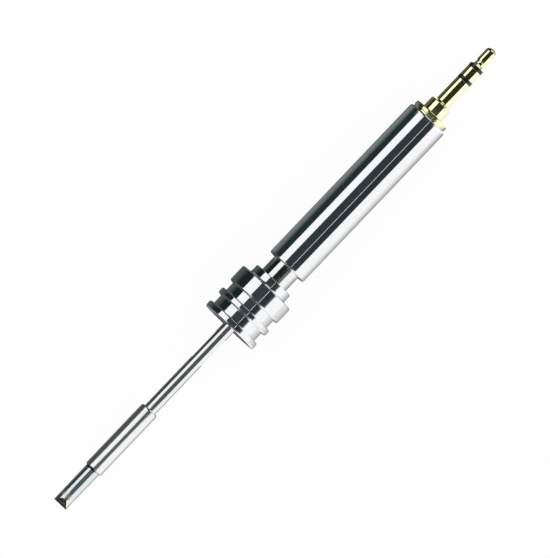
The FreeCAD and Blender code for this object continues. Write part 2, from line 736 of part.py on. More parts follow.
def lug(name, front, rear, radius, bore_radius, side):
    """A solder lug: a washer that is riveted to its contact, with a tab bent forward at the rim."""
    body = tube(name, front, rear, radius, bore_radius)
    sketch = new_sketch(body, f"{name}_tab_outline", "XY_Plane", [("z", "0 - tab_width / 2")])
    outer = f"{side} * {radius}"
    inner = f"{side} * ({radius} - lug_thickness)"
    end = f"{rear} - tab_length"
    draw_outline(sketch, [(end, inner), (end, outer), (rear, outer), (rear, inner)])
    tab = body.newObject("PartDesign::Pad", f"{name}_tab")
    tab.Profile = sketch
    tab.setExpression("Length", bind("tab_width"))
    sketch.Visibility = False
    doc.recompute()
    return body


def solder_joint(name, side, offset, tab_face, tab_back):
    """The solder that holds a bare wire end: a long drop, bored for the wire and flat on the tab."""
    rear = "wire_rear - conductor_diameter"
    front = f"{rear} - solder_length"
    top = "conductor_diameter / 2 + solder_height"
    body = turned(name, [
        (front, "conductor_diameter / 2"),
        (front, "conductor_diameter / 2 + solder_film"),
        (f"{front} + solder_length / 4", top),
        (f"{rear} - solder_length / 4", top),
        (rear, "conductor_diameter / 2 + solder_film"),
        (rear, "conductor_diameter / 2"),
    ], [("y", f"{side} * {offset}")])
    before = body.Tip.Shape.Volume
    near, far = f"{side} * ({tab_face})", f"{side} * ({tab_back})"
    first, last = f"{front} - solder_film", f"{rear} + solder_film"
    sketch = new_sketch(body, f"{name}_seat_outline", "XY_Plane")
    draw_outline(sketch, [(first, near), (first, far), (last, far), (last, near)])
    seat = body.newObject("PartDesign::Pocket", f"{name}_seat")
    seat.Profile = sketch
    seat.Type = "ThroughAll"
    seat.Midplane = True
    sketch.Visibility = False
    doc.recompute()
    if seat.Shape.Volume >= before:
        raise ValueError(f"{name} isn't cut flat")
    return body


pieces = [
    chisel_bit(),
    heater_sleeve(),
    twin_bore("heater_core", "core_front", "core_rear", "core_diameter / 2", "core_bore_diameter"),
    heater_coil(),
    tube("coil_insulator", "bit_rear", "lip_front", "bit_shank_diameter / 2 - clearance",
         "coil_outer_radius + clearance"),
    sensor_bead(),
    lead("lead_positive", "bead_back", 1),
    lead("lead_negative", "coil_rear - ribbon_width / 2", -1),
    twin_bore("lead_insulator", "lead_tube_front", "lead_tube_rear", "stem_bore_radius - lead_tube_gap",
              "core_bore_diameter"),
    tube("stem_tube", "lip_front", "stem_rear", "stem_diameter / 2", "stem_bore_radius"),
    collar(),
    neck_tube(),
    twin_bore("lead_seal", "lead_tube_rear", "seal_rear", "neck_bore_radius", "lead_diameter"),
    barrel(),
    tube("barrel_liner", "barrel_wall_rear", "contact_front", "liner_radius", "liner_bore_radius"),
    splice("splice_positive", 1),
    splice("splice_negative", -1),
    tube("shrink_sleeve_positive", "splice_front", "shrink_rear", "splice_diameter / 2 + shrink_wall",
         "splice_diameter / 2", [("y", "splice_offset")]),
    tube("shrink_sleeve_negative", "splice_front", "shrink_rear", "splice_diameter / 2 + shrink_wall",
         "splice_diameter / 2", [("y", "0 - splice_offset")]),
    wire("wire_positive", 1, "positive_end_offset"),
    wire("wire_negative", -1, "negative_end_offset"),
    tube("ring_lug_washer", "ring_lug_rear", "contact_front", "liner_bore_radius - clearance",
         "ring_tube_radius"),
    lug("ring_lug", "ring_lug_front", "ring_lug_rear", "ring_lug_radius", "ring_tube_radius", -1),
    tube("tip_lug_washer", "tip_lug_rear", "ring_lug_front", "ring_tab_face - tab_gap", "rod_radius"),
    lug("tip_lug", "tip_lug_front", "tip_lug_rear", "tip_tab_face", "rod_radius", 1),
    solder_joint("ring_solder_joint", -1, "negative_end_offset", "ring_tab_face",
                 "ring_tab_face + conductor_diameter * 2"),
    solder_joint("tip_solder_joint", 1, "positive_end_offset", "tip_tab_face",
                 "tip_tab_face - conductor_diameter * 2"),
    sleeve_contact(),
    insulator_rear(),
    ring_contact(),
    insulator_front(),
    tip_contact(),
]

doc.recompute()
for item in doc.Objects:
    if "Invalid" in item.State or "Error" in item.State:
        raise ValueError(f"{item.Name} failed: {item.State}")
for piece in pieces:
    if piece.Shape.isNull() or not piece.Shape.isValid() or len(piece.Shape.Solids) != 1:
        raise ValueError(f"{piece.Label} isn't one valid solid")

os.makedirs("parts", exist_ok=True)
for piece in pieces:
    piece.Shape.exportStep(f"parts/{piece.Label}.step")
    print(f"{piece.Label}: {piece.Shape.Volume:.3f} cubic mm")
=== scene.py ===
"""Soldering iron tip: the outer pieces with rounded rims, the finishes of all pieces, and the stage."""

import json
import math

import bmesh
import bpy
from mathutils import Matrix, Vector


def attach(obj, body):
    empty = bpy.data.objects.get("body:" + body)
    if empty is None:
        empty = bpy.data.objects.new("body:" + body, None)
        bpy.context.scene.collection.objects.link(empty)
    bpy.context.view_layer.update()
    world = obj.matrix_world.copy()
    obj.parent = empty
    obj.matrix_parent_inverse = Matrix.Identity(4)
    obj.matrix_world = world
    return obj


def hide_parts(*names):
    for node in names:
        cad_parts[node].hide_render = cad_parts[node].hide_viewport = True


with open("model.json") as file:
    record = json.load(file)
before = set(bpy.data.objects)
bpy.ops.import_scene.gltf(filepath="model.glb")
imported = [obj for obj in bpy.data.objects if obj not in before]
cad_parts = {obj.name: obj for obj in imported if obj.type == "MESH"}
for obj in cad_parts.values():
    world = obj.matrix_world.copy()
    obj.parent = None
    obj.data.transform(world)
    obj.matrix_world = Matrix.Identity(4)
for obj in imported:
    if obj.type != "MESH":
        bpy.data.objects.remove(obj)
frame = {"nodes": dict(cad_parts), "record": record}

bl_info = {
    "name": "Soldering iron tip",
    "version": (1, 0, 0),
    "blender": (4, 5, 0),
    "location": "3D View > Sidebar > Soldering tip",
    "description": "Builds the outer pieces of a soldering iron tip, their finishes and a white stage",
    "category": "Object",
}

MM = 0.001
# Faces round a turned piece, and cuts that make the arc of a flat.
AROUND = 192
FLAT_CUTS = 28
# Distances in metres below which points are one point, lie on one rim, or lie on the cutting plane.
SAME_POINT = 1e-8
SAME_RIM = 1e-7
ON_PLANE = 1e-9
# Faces that meet at more than the first angle are shaded apart. The bit's edges past the second are rounded.
SHADED_APART = math.radians(28)
SHARP_EDGE = math.radians(24)
# Width of the camera's sensor in millimetres.
SENSOR_WIDTH = 36.0
# The barrel's mount, from the chisel edge along the part.
BARREL_MOUNT_PLACE = 65.19 * MM


# How the part lies

def rest_matrix():
    """From the part's own axes, X from the chisel edge to the plug's nose, to where the part lies."""
    mount = next(item for item in frame["record"]["mounts"] if item["name"] == "barrel")
    axis = Vector(mount["axis"]).normalized()
    across = Vector((0, 1, 0))
    upward = axis.cross(across)
    start = Vector(mount["pos_m"]) - axis * BARREL_MOUNT_PLACE
    turn = Matrix((axis, across, upward)).transposed()
    return Matrix.Translation(start) @ turn.to_4x4()


REST = rest_matrix()


# Sizes, finishes and stage settings

def length(name, description, millimetres):
    """A length property whose default is given in millimetres."""
    return bpy.props.FloatProperty(
        name=name, description=description, default=millimetres * MM, min=0.0, unit="LENGTH", precision=5)


def angle(name, description, degrees):
    """An angle property whose default is given in degrees."""
    return bpy.props.FloatProperty(
        name=name, description=description, default=math.radians(degrees), subtype="ANGLE")


def colour(name, description, value):
    """A colour property."""
    return bpy.props.FloatVectorProperty(
        name=name, description=description, default=value, size=3, min=0.0, max=1.0, subtype="COLOR")


def factor(name, description, value, highest=1.0):
    """A plain number between zero and its highest value."""
    return bpy.props.FloatProperty(name=name, description=description, default=value, min=0.0, max=highest)


class TipSizes(bpy.types.PropertyGroup):
    """Sizes of the pieces that show, along the part and across it."""

    bit_reach: length("Bit reach", "Chisel edge to the front of the heater sleeve", 7.28)
    bit_front_diameter: length("Bit front diameter", "Across the bit behind the chisel edge", 2.40)
    bit_diameter: length("Bit diameter", "Across the bit at the heater sleeve", 2.47)
    bit_shank_diameter: length("Bit shank diameter", "Across the shank inside the sleeve", 2.16)
    bit_seat: length("Bit seat", "Length of the shank inside the sleeve", 3.0)
    flat_length: length("Flat length", "Length of the two flats of the chisel", 1.42)
    edge_thickness: length("Edge thickness", "Across the chisel edge", 0.24)
    bit_break: length("Bit edge round", "Round on the edges of the flats", 0.035)
    bit_rear_round: length("Bit rear round", "Round on the bit's rim at the heater sleeve", 0.14)
    sensor_bore_diameter: length("Sensor bore", "Across the bore in the shank", 1.5)
    sensor_bore_depth: length("Sensor bore depth", "Depth of the bore in the shank", 2.0)
    sleeve_length: length("Sleeve length", "Length of the heater sleeve", 12.47)
    sleeve_diameter: length("Sleeve diameter", "Across the heater sleeve", 2.97)
    sleeve_front_round: length("Sleeve front round", "Round at the front rim of the sleeve", 0.2)
    sleeve_rear_chamfer: length("Sleeve rear chamfer", "Chamfer at the rear rim of the sleeve", 0.2)
    sleeve_lip: length("Sleeve lip", "Length of the lip that holds the stem", 1.5)
    stem_reach: length("Stem reach", "Heater sleeve to the collar", 17.30)
    stem_diameter: length("Stem diameter", "Across the stem", 2.10)
    stem_wall: length("Stem wall", "Wall of the stem", 0.15)
    stem_projection: length("Stem projection", "Stem beyond the neck's front wall", 0.5)
    ring_diameter: length("Ring diameter", "Across each ring of the collar", 9.73)
    groove_depth: length("Groove depth", "Depth of the grooves between the rings", 0.66)
    shoulder_step: length("Shoulder step", "From the ring's rim down to the shoulder", 1.44)
    ring_1_width: length("Ring 1 width", "Width of the first ring", 1.14)
    groove_1_width: length("Groove 1 width", "Width of the first groove", 1.64)
    ring_2_width: length("Ring 2 width", "Width of the second ring", 1.06)
    groove_2_width: length("Groove 2 width", "Width of the second groove", 1.54)
    ring_3_width: length("Ring 3 width", "Width of the third ring", 2.97)
    shoulder_width: length("Shoulder width", "Width of the shoulder behind the rings", 1.52)
    ring_round: length("Ring round", "Round on the rims of the rings", 0.28)
    groove_round: length("Groove round", "Round at the foot of the grooves", 0.08)
    shoulder_root: length("Shoulder root", "Round at the foot of the shoulder", 0.4)
    shoulder_round: length("Shoulder round", "Round at the rear rim of the shoulder", 0.168)
    collar_socket: length("Collar socket", "Depth of the neck's seat in the collar", 2.0)
    neck_reach: length("Neck reach", "Collar to the barrel", 2.77)
    neck_diameter: length("Neck diameter", "Across the neck", 4.84)
    neck_wall: length("Neck wall", "Wall of the neck", 0.9)
    neck_front_wall: length("Neck front wall", "Front wall of the neck", 1.0)
    barrel_length: length("Barrel length", "Length of the barrel", 31.15)
    barrel_diameter: length("Barrel diameter", "Across the barrel", 6.82)
    barrel_wall: length("Barrel wall", "Wall of the barrel", 0.5)
    barrel_front_wall: length("Barrel front wall", "Front wall of the barrel", 1.2)
    barrel_front_round: length("Barrel front round", "Round at the front rim of the barrel", 0.3)
    barrel_rear_round: length("Barrel rear round", "Round at the rear rim of the barrel", 0.38)
    spigot_length: length("Spigot length", "The plug's spigot inside the barrel", 3.0)
    flange_gap: length("Flange gap", "Between barrel and flange", 0.2)
    flange_diameter: length("Flange diameter", "Across the flange", 6.1)
    flange_width: length("Flange width", "Width of the flange", 0.77)
    flange_round: length("Flange round", "Round on both rims of the flange", 0.25)
    plug_shoulder_diameter: length("Plug shoulder diameter", "Across the shoulder of the plug", 3.73)
    plug_shoulder_length: length("Plug shoulder length", "Length of the shoulder of the plug", 2.27)
    plug_cone_length: length("Plug cone length", "Cone from the shoulder to the sleeve", 0.35)
    plug_diameter: length("Plug diameter", "Across the plug's sleeve", 2.5)
    plug_sleeve_length: length("Plug sleeve length", "Length of the plug's sleeve", 4.56)
    insulator_rear_width: length("Rear insulator width", "Width of the rear insulator", 0.59)
    ring_contact_width: length("Ring contact width", "Width of the ring contact", 1.82)
    insulator_front_width: length("Front insulator width", "Width of the front insulator", 0.58)
    tip_rear_diameter: length("Tip rear diameter", "Across the tip contact at its insulator", 2.27)
    tip_neck_diameter: length("Tip neck diameter", "Across the neck of the tip contact", 1.6)
    tip_cone_length: length("Tip cone length", "Cone from the insulator to the neck", 0.44)
    tip_neck_length: length("Tip neck length", "Length of the neck", 0.30)
    tip_ramp_length: length("Tip ramp length", "Cone from the neck to the head", 0.35)
    tip_head_diameter: length("Tip head diameter", "Across the head", 1.88)
    tip_head_length: length("Tip head length", "Length of the head", 2.56)
    tip_nose_round: length("Tip nose round", "Round of the nose", 0.72)
    rod_diameter: length("Rod diameter", "Across the rod of the tip contact", 0.6)
    insulator_wall: length("Insulator wall", "Wall of the front insulator's tube", 0.175)
    ring_tube_wall: length("Ring tube wall", "Wall of the ring contact's tube", 0.175)
    washer_thickness: length("Washer thickness", "Thickness of the insulating washers", 0.6)
    lug_thickness: length("Lug thickness", "Thickness of the solder lugs", 0.3)
    rod_projection: length("Rod projection", "Rod beyond its lug", 0.35)
    fine_break: length("Fine edge round", "Round on the finest edges", 0.05)
    rear_insulator_extra: length("Rear insulator extra", "Extra wall of the rear insulator", 0.05)


class TipFinishes(bpy.types.PropertyGroup):
    """Colours and polish of the pieces that show."""

    chrome: colour("Chrome", "Bright plating of collar and barrel", (0.935, 0.94, 0.95))
    chrome_roughness: factor("Chrome roughness", "Roughness of the bright plating", 0.045)
    sleeve: colour("Sleeve steel", "Polished steel of the heater sleeve", (0.91, 0.92, 0.925))
    sleeve_roughness: factor("Sleeve roughness", "Roughness of the heater sleeve", 0.11)
    stem: colour("Stem steel", "Steel of the stem", (0.89, 0.895, 0.90))
    stem_roughness: factor("Stem roughness", "Roughness of the stem", 0.07)
    neck: colour("Neck steel", "Warmer steel of the neck", (0.91, 0.91, 0.895))
    neck_roughness: factor("Neck roughness", "Roughness of the neck", 0.06)
    bit: colour("Bit plating", "Iron plating of the bit", (0.82, 0.87, 0.87))
    bit_roughness: factor("Bit roughness", "Roughness of the bit", 0.12)
    tin: colour("Tin", "Tinned zone of the chisel", (0.93, 0.92, 0.84))
    tin_roughness: factor("Tin roughness", "Roughness of the tin coat behind the flats", 0.34)
    tin_length: length("Tin length", "Length of the tinned zone", 2.07)
    # Painted shade: the dark ring where the bit meets the heater sleeve.
    painted_joint_shade: colour("Flux", "Burnt flux where the bit meets the heater sleeve", (0.05, 0.05, 0.05))
    gold: colour("Gold", "Gold plating of the contacts", (0.93, 0.92, 0.56))
    gold_roughness: factor("Gold roughness", "Roughness of the gold plating", 0.07)
    insulator: colour("Insulator", "Black plastic between the contacts", (0.012, 0.012, 0.013))


class TipStage(bpy.types.PropertyGroup):
    """Camera, floor and light."""

    camera_turn: angle("Camera turn", "Turn of the camera about the vertical", -46.33)
    picture_height: length("Picture height", "Height of the floor that the picture shows", 558 / 6.6)
    shift_right: length("Shift right", "Middle of the part to the right of the picture's middle", 2.0 / 6.6)
    shift_up: length("Shift up", "Middle of the part above the picture's middle", 2.2 / 6.6)
    lens: bpy.props.FloatProperty(name="Lens", description="Focal length in millimetres", default=1000.0)
    world_strength: factor("World strength", "Strength of the white world", 1.0, 5.0)
    floor_glow: factor("Floor glow", "Share of the floor's white that takes no shadow", 0.94)


# Mesh making

def along(*steps):
    """Places that follow one another by the given steps."""
    places = [steps[0]]
    for step in steps[1:]:
        places.append(places[-1] + step)
    return places


def spin_profile(mesh_data, corners, closed):
    """Turn a profile of (place, radius, round) corners about the part's own axis."""
    points = [mesh_data.verts.new((place, 0.0, radius)) for place, radius, _ in corners]
    edges = [mesh_data.edges.new(pair) for pair in zip(points, points[1:])]
    if closed:
        edges.append(mesh_data.edges.new((points[-1], points[0])))
    bmesh.ops.spin(mesh_data, geom=points + edges, axis=(1, 0, 0), cent=(0, 0, 0),
                   angle=math.tau, steps=AROUND, use_merge=True)
    bmesh.ops.remove_doubles(mesh_data, verts=mesh_data.verts, dist=SAME_POINT)
    bmesh.ops.recalc_face_normals(mesh_data, faces=mesh_data.faces)


def rim_edges(mesh_data, place, radius):
    """The edges of the rim at a place and radius."""
    def on_rim(vertex):
        reach = math.hypot(vertex.co.y, vertex.co.z)
        return abs(vertex.co.x - place) < SAME_RIM and abs(reach - radius) < SAME_RIM
    return [edge for edge in mesh_data.edges if on_rim(edge.verts[0]) and on_rim(edge.verts[1])]


def round_edges(mesh_data, edges, size, segments):
    """Round edges with a circular arc."""
    bmesh.ops.bevel(mesh_data, geom=edges, offset=size, offset_type="OFFSET", affect="EDGES",
                    segments=segments, profile=0.5, material=-1, clamp_overlap=True)


def round_rims(mesh_data, corners, segments):
    """Round each rim of the profile that has a round."""
    for place, radius, size in corners:
        if size > 0:
            round_edges(mesh_data, rim_edges(mesh_data, place, radius), size, segments)


def corner_normals(mesh_data):
    """A normal for each corner, led by the largest faces round it and broken at sharp edges."""
    sharp = math.cos(SHADED_APART)
    weights = {face: face.calc_area() ** 2 for face in mesh_data.faces}
    normals = []
    for face in mesh_data.faces:
        for corner in face.loops:
            total = Vector()
            for neighbour in corner.vert.link_faces:
                if neighbour.normal.dot(face.normal) > sharp:
                    total += neighbour.normal * weights[neighbour]
            normals.append(total.normalized() if total.length_squared > 0 else face.normal.copy())
    return normals


def finish_piece(name, mesh_data, material, node):
    """Lay the mesh down as the part rests, shade it, and let it stand for its node."""
    bmesh.ops.transform(mesh_data, matrix=REST, verts=mesh_data.verts)
    bmesh.ops.recalc_face_normals(mesh_data, faces=mesh_data.faces)
    normals = corner_normals(mesh_data)
    mesh = bpy.data.meshes.new(name)
    mesh_data.to_mesh(mesh)
    mesh_data.free()
    for face in mesh.polygons:
        face.use_smooth = True
    mesh.normals_split_custom_set(normals)
    mesh.materials.append(material)
    piece = bpy.data.objects.new(name, mesh)
    bpy.context.scene.collection.objects.link(piece)
    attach(piece, "root")
    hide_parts(node)
    return piece


def add_turned(name, corners, material, node, closed=True, segments=6):
    """A piece turned from one profile."""
    mesh_data = bmesh.new()
    spin_profile(mesh_data, corners, closed)
    round_rims(mesh_data, corners, segments)
    return finish_piece(name, mesh_data, material, node)


# Materials

def new_material(name):
    """A material with its shader, and the nodes that give coordinates on the part in millimetres."""
    material = bpy.data.materials.new(name)
    material.use_nodes = True
    tree = material.node_tree
    shader = tree.nodes["Principled BSDF"]
    source = tree.nodes.new("ShaderNodeTexCoord")
    mapping = tree.nodes.new("ShaderNodeMapping")
    mapping.vector_type = "TEXTURE"
    mapping.inputs["Location"].default_value = REST.to_translation()
    mapping.inputs["Rotation"].default_value = REST.to_euler()
    mapping.inputs["Scale"].default_value = (MM, MM, MM)
    tree.links.new(source.outputs["Object"], mapping.inputs["Vector"])
    return material, tree, shader, mapping.outputs["Vector"]


def noise(tree, vector, scale, detail=3.0, stretch=(1.0, 1.0, 1.0)):
    """Noise on the part, scaled per millimetre and stretched along its axes."""
    if stretch != (1.0, 1.0, 1.0):
        stretching = tree.nodes.new("ShaderNodeMapping")
        stretching.inputs["Scale"].default_value = stretch
        tree.links.new(vector, stretching.inputs["Vector"])
        vector = stretching.outputs["Vector"]
    texture = tree.nodes.new("ShaderNodeTexNoise")
    texture.inputs["Scale"].default_value = scale
    texture.inputs["Detail"].default_value = detail
    tree.links.new(vector, texture.inputs["Vector"])
    return texture.outputs["Fac"]


def coordinate(tree, vector, name):
    """One coordinate of a place."""
    split = tree.nodes.new("ShaderNodeSeparateXYZ")
    tree.links.new(vector, split.inputs["Vector"])
    return split.outputs[name]


def turned_lines(tree, vector, scale):
    """Noise that changes along the part only, as tool marks do."""
    texture = tree.nodes.new("ShaderNodeTexNoise")
    texture.noise_dimensions = "1D"
    texture.inputs["Scale"].default_value = scale
    texture.inputs["Detail"].default_value = 2.0
    tree.links.new(coordinate(tree, vector, "X"), texture.inputs["W"])
    return texture.outputs["Fac"]


def ranged(tree, value, low, high, start=0.3, end=0.7):
    """A value that goes from low to high while another goes from start to end."""
    node = tree.nodes.new("ShaderNodeMapRange")
    node.inputs["From Min"].default_value = start
    node.inputs["From Max"].default_value = end
    node.inputs["To Min"].default_value = low
    node.inputs["To Max"].default_value = high
    tree.links.new(value, node.inputs["Value"])
    return node.outputs["Result"]


def mixed(tree, share, first, second):
    """A colour between two others, each a value or a socket."""
    node = tree.nodes.new("ShaderNodeMix")
    node.data_type = "RGBA"
    tree.links.new(share, node.inputs["Factor"])
    for socket, value in ((node.inputs[6], first), (node.inputs[7], second)):
        if isinstance(value, bpy.types.NodeSocket):
            tree.links.new(value, socket)
        else:
            socket.default_value = (*value, 1.0)
    return node.outputs[2]


def calculated(tree, operation, first, second, clamp=False):
    """The result of an operation on a socket and either another socket or a number."""
    node = tree.nodes.new("ShaderNodeMath")
    node.operation = operation
    node.use_clamp = clamp
    tree.links.new(first, node.inputs[0])
    if isinstance(second, float):
        node.inputs[1].default_value = second
    else:
        tree.links.new(second, node.inputs[1])
    return node.outputs["Value"]


def bump(tree, shader, height, strength, depth):
    """Relief of the surface, with its depth in millimetres."""
    node = tree.nodes.new("ShaderNodeBump")
    node.inputs["Strength"].default_value = strength
    node.inputs["Distance"].default_value = depth * MM
    tree.links.new(height, node.inputs["Height"])
    tree.links.new(node.outputs["Normal"], shader.inputs["Normal"])


def shaded(value, share):
    """A colour taken down to a share of itself."""
    return tuple(channel * share for channel in value)


def bright_metal(name, base, roughness, marks=0.05):
    """Polished or plated metal with faint stains, uneven polish and faint tool marks."""
    material, tree, shader, vector = new_material(name)
    shader.inputs["Metallic"].default_value = 1.0
    stains = ranged(tree, noise(tree, vector, 0.5, 4.0), 0.0, 1.0)
    tree.links.new(mixed(tree, stains, base, shaded(base, 0.965)), shader.inputs["Base Color"])
    polish = ranged(tree, noise(tree, vector, 1.6, 5.0, (1.0, 0.3, 0.3)), roughness * 0.8, roughness * 1.3)
    tree.links.new(polish, shader.inputs["Roughness"])
    bump(tree, shader, turned_lines(tree, vector, 4.0), marks, 0.002)
    return material


def bit_metal(settings, reach, flat_length):
    """Plated copper, with a lumpy tin coat that shines on the flats, and painted shade at the sleeve: a dark
    ring that fades out toward -Y.
    """
    material, tree, shader, vector = new_material("bit plating")
    shader.inputs["Metallic"].default_value = 1.0
    place = coordinate(tree, vector, "X")
    uneven = ranged(tree, noise(tree, vector, 1.3, 3.0), -0.12, 0.12)
    limit = settings.tin_length / MM
    fade = 0.25
    tinned = ranged(tree, calculated(tree, "ADD", place, uneven), 1.0, 0.0, limit - fade, limit + fade)
    plated = mixed(tree, noise(tree, vector, 0.9, 4.0), settings.bit, shaded(settings.bit, 0.9))
    coat = mixed(tree, noise(tree, vector, 1.5, 4.0), settings.tin, shaded(settings.tin, 0.9))
    clean = mixed(tree, tinned, plated, coat)
    # Painted shade where the bit meets the heater sleeve: dark round the joint, fading out toward -Y.
    joint_shade_start, joint_shade_full = reach - 0.32, reach - 0.22
    side_start, side_full = -0.7, -0.25
    joint = ranged(tree, place, 0.0, 1.0, joint_shade_start, joint_shade_full)
    side = ranged(tree, coordinate(tree, vector, "Y"), 0.0, 1.0, side_start, side_full)
    painted_joint_shade_share = calculated(tree, "MULTIPLY", joint, side)
    tree.links.new(mixed(tree, painted_joint_shade_share, clean, settings.painted_joint_shade), shader.inputs["Base Color"])
    behind = ranged(tree, place, 0.0, 1.0, flat_length - fade, flat_length)
    dull = calculated(tree, "MULTIPLY", tinned, behind)
    polish = ranged(tree, dull, settings.bit_roughness, settings.tin_roughness, 0.0, 1.0)
    tree.links.new(polish, shader.inputs["Roughness"])
    lumps = noise(tree, vector, 1.1, 2.0)
    bump(tree, shader, calculated(tree, "MULTIPLY", lumps, tinned), 1.0, 0.05)
    return material


def plain_finish(name, base, roughness, metallic=0.0, grain=3.0, relief=0.01):
    """A finish with grain and uneven polish, for plastic, ceramic, film and inner metal."""
    material, tree, shader, vector = new_material(name)
    shader.inputs["Metallic"].default_value = metallic
    cloud = noise(tree, vector, grain, 5.0)
    tree.links.new(mixed(tree, cloud, base, shaded(base, 0.78)), shader.inputs["Base Color"])
    polish = ranged(tree, cloud, roughness * 0.85, min(1.0, roughness * 1.2))
    tree.links.new(polish, shader.inputs["Roughness"])
    bump(tree, shader, noise(tree, vector, grain * 4, 3.0), 0.5, relief)
    return material


def finish_named(context, name):
    """The material of that finish, made once."""
    made = bpy.data.materials.get(name)
    if made:
        return made
    settings = context.scene.tip_finishes
    s = context.scene.tip_sizes
    makers = {
        "bright plating": lambda: bright_metal(name, settings.chrome, settings.chrome_roughness),
        "sleeve steel": lambda: bright_metal(name, settings.sleeve, settings.sleeve_roughness, 0.12),
        "stem steel": lambda: bright_metal(name, settings.stem, settings.stem_roughness, 0.1),
        "neck steel": lambda: bright_metal(name, settings.neck, settings.neck_roughness, 0.1),
        "gold plating": lambda: bright_metal(name, settings.gold, settings.gold_roughness, 0.1),
        "insulator plastic": lambda: plain_finish(name, settings.insulator, 0.22, 0.0, 4.0, 0.004),
        "bit plating": lambda: bit_metal(settings, s.bit_reach / MM, s.flat_length / MM),
    }
    return makers[name]()


# Pieces

def bit_places(s):
    """Rear ends of the bit, the heater sleeve and the stem's visible length."""
    sleeve_rear = s.bit_reach + s.sleeve_length
    return s.bit_reach + s.bit_seat, sleeve_rear, sleeve_rear + s.stem_reach


class BuildBit(bpy.types.Operator):
    """Build the bit with its two flats"""

    bl_idname = "tip.chisel_bit"
    bl_label = "Chisel bit"
    bl_options = {"REGISTER", "UNDO"}

    def execute(self, context):
        s = context.scene.tip_sizes
        bit_rear, _, _ = bit_places(s)
        bore_bottom = bit_rear - s.sensor_bore_depth
        corners = [
            (0.0, 0.0, 0.0),
            (0.0, s.bit_front_diameter / 2, 0.0),
            (s.bit_reach, s.bit_diameter / 2, s.bit_rear_round),
            (s.bit_reach, s.bit_shank_diameter / 2, 0.0),
            (bit_rear, s.bit_shank_diameter / 2, 0.0),
            (bit_rear, s.sensor_bore_diameter / 2, 0.0),
            (bore_bottom, s.sensor_bore_diameter / 2, 0.0),
            (bore_bottom, 0.0, 0.0),
        ]
        mesh_data = bmesh.new()
        spin_profile(mesh_data, corners, False)
        round_rims(mesh_data, corners, segments=3)
        self.cut_flats(mesh_data, s)
        finish_piece("bit", mesh_data, finish_named(context, "bit plating"), "chisel_bit")
        return {"FINISHED"}

    def cut_flats(self, mesh_data, s):
        """Cut both flats, each along an arc that ends level with the rod's surface."""
        widening = (s.bit_diameter - s.bit_front_diameter) / 2
        rise = s.bit_front_diameter / 2 + widening * s.flat_length / s.bit_reach
        half = s.edge_thickness / 2
        radius = (s.flat_length ** 2 + (rise - half) ** 2) / (2 * (rise - half))
        sweep = math.asin(s.flat_length / radius)
        for side in (1, -1):
            for index in range(FLAT_CUTS + 1):
                lean = sweep * index / FLAT_CUTS
                normal = Vector((-math.sin(lean), 0.0, side * math.cos(lean)))
                point = Vector((s.flat_length, 0.0, side * (rise - radius))) + normal * radius
                geometry = mesh_data.verts[:] + mesh_data.edges[:] + mesh_data.faces[:]
                cut = bmesh.ops.bisect_plane(mesh_data, geom=geometry, dist=ON_PLANE, plane_co=point,
                                             plane_no=normal, clear_outer=True, clear_inner=False)
                rim = [item for item in cut["geom_cut"] if isinstance(item, bmesh.types.BMEdge)]
                if rim:
                    bmesh.ops.holes_fill(mesh_data, edges=rim, sides=0)
        bmesh.ops.remove_doubles(mesh_data, verts=mesh_data.verts, dist=SAME_POINT)
        bmesh.ops.recalc_face_normals(mesh_data, faces=mesh_data.faces)
        behind_flats = s.flat_length * 1.05
        sharp = [
            edge for edge in mesh_data.edges
            if len(edge.link_faces) == 2
            and edge.calc_face_angle() > SHARP_EDGE
            and max(vertex.co.x for vertex in edge.verts) < behind_flats
        ]
        round_edges(mesh_data, sharp, s.bit_break, segments=3)


class BuildSleeve(bpy.types.Operator):
    """Build the heater sleeve"""

    bl_idname = "tip.heater_sleeve"
    bl_label = "Heater sleeve"
    bl_options = {"REGISTER", "UNDO"}

    def execute(self, context):
        s = context.scene.tip_sizes
        _, rear, _ = bit_places(s)
        outer = s.sleeve_diameter / 2
        corners = [
            (s.bit_reach, s.bit_shank_diameter / 2, 0.0),
            (s.bit_reach, outer, s.sleeve_front_round),
            (rear - s.sleeve_rear_chamfer, outer, s.fine_break),
            (rear, outer - s.sleeve_rear_chamfer, s.fine_break),
            (rear, s.stem_diameter / 2, 0.0),
            (rear - s.sleeve_lip, s.stem_diameter / 2, 0.0),
            (rear - s.sleeve_lip, s.bit_shank_diameter / 2, 0.0),
        ]
        add_turned("sleeve", corners, finish_named(context, "sleeve steel"), "heater_sleeve")
        return {"FINISHED"}


def collar_places(s):
    """Faces of the rings and of the shoulder, from front to rear."""
    _, _, front = bit_places(s)
    return along(front, s.ring_1_width, s.groove_1_width, s.ring_2_width, s.groove_2_width, s.ring_3_width,
                 s.shoulder_width)


class BuildStem(bpy.types.Operator):
    """Build the stem"""

    bl_idname = "tip.stem"
    bl_label = "Stem"
    bl_options = {"REGISTER", "UNDO"}

    def execute(self, context):
        s = context.scene.tip_sizes
        _, sleeve_rear, _ = bit_places(s)
        collar_rear = collar_places(s)[-1]
        rear = collar_rear - s.collar_socket + s.neck_front_wall + s.stem_projection
        outer = s.stem_diameter / 2
        front = sleeve_rear - s.sleeve_lip
        corners = [(front, outer - s.stem_wall, 0.0), (front, outer, 0.0), (rear, outer, 0.0),
                   (rear, outer - s.stem_wall, 0.0)]
        add_turned("stem", corners, finish_named(context, "stem steel"), "stem_tube")
        return {"FINISHED"}


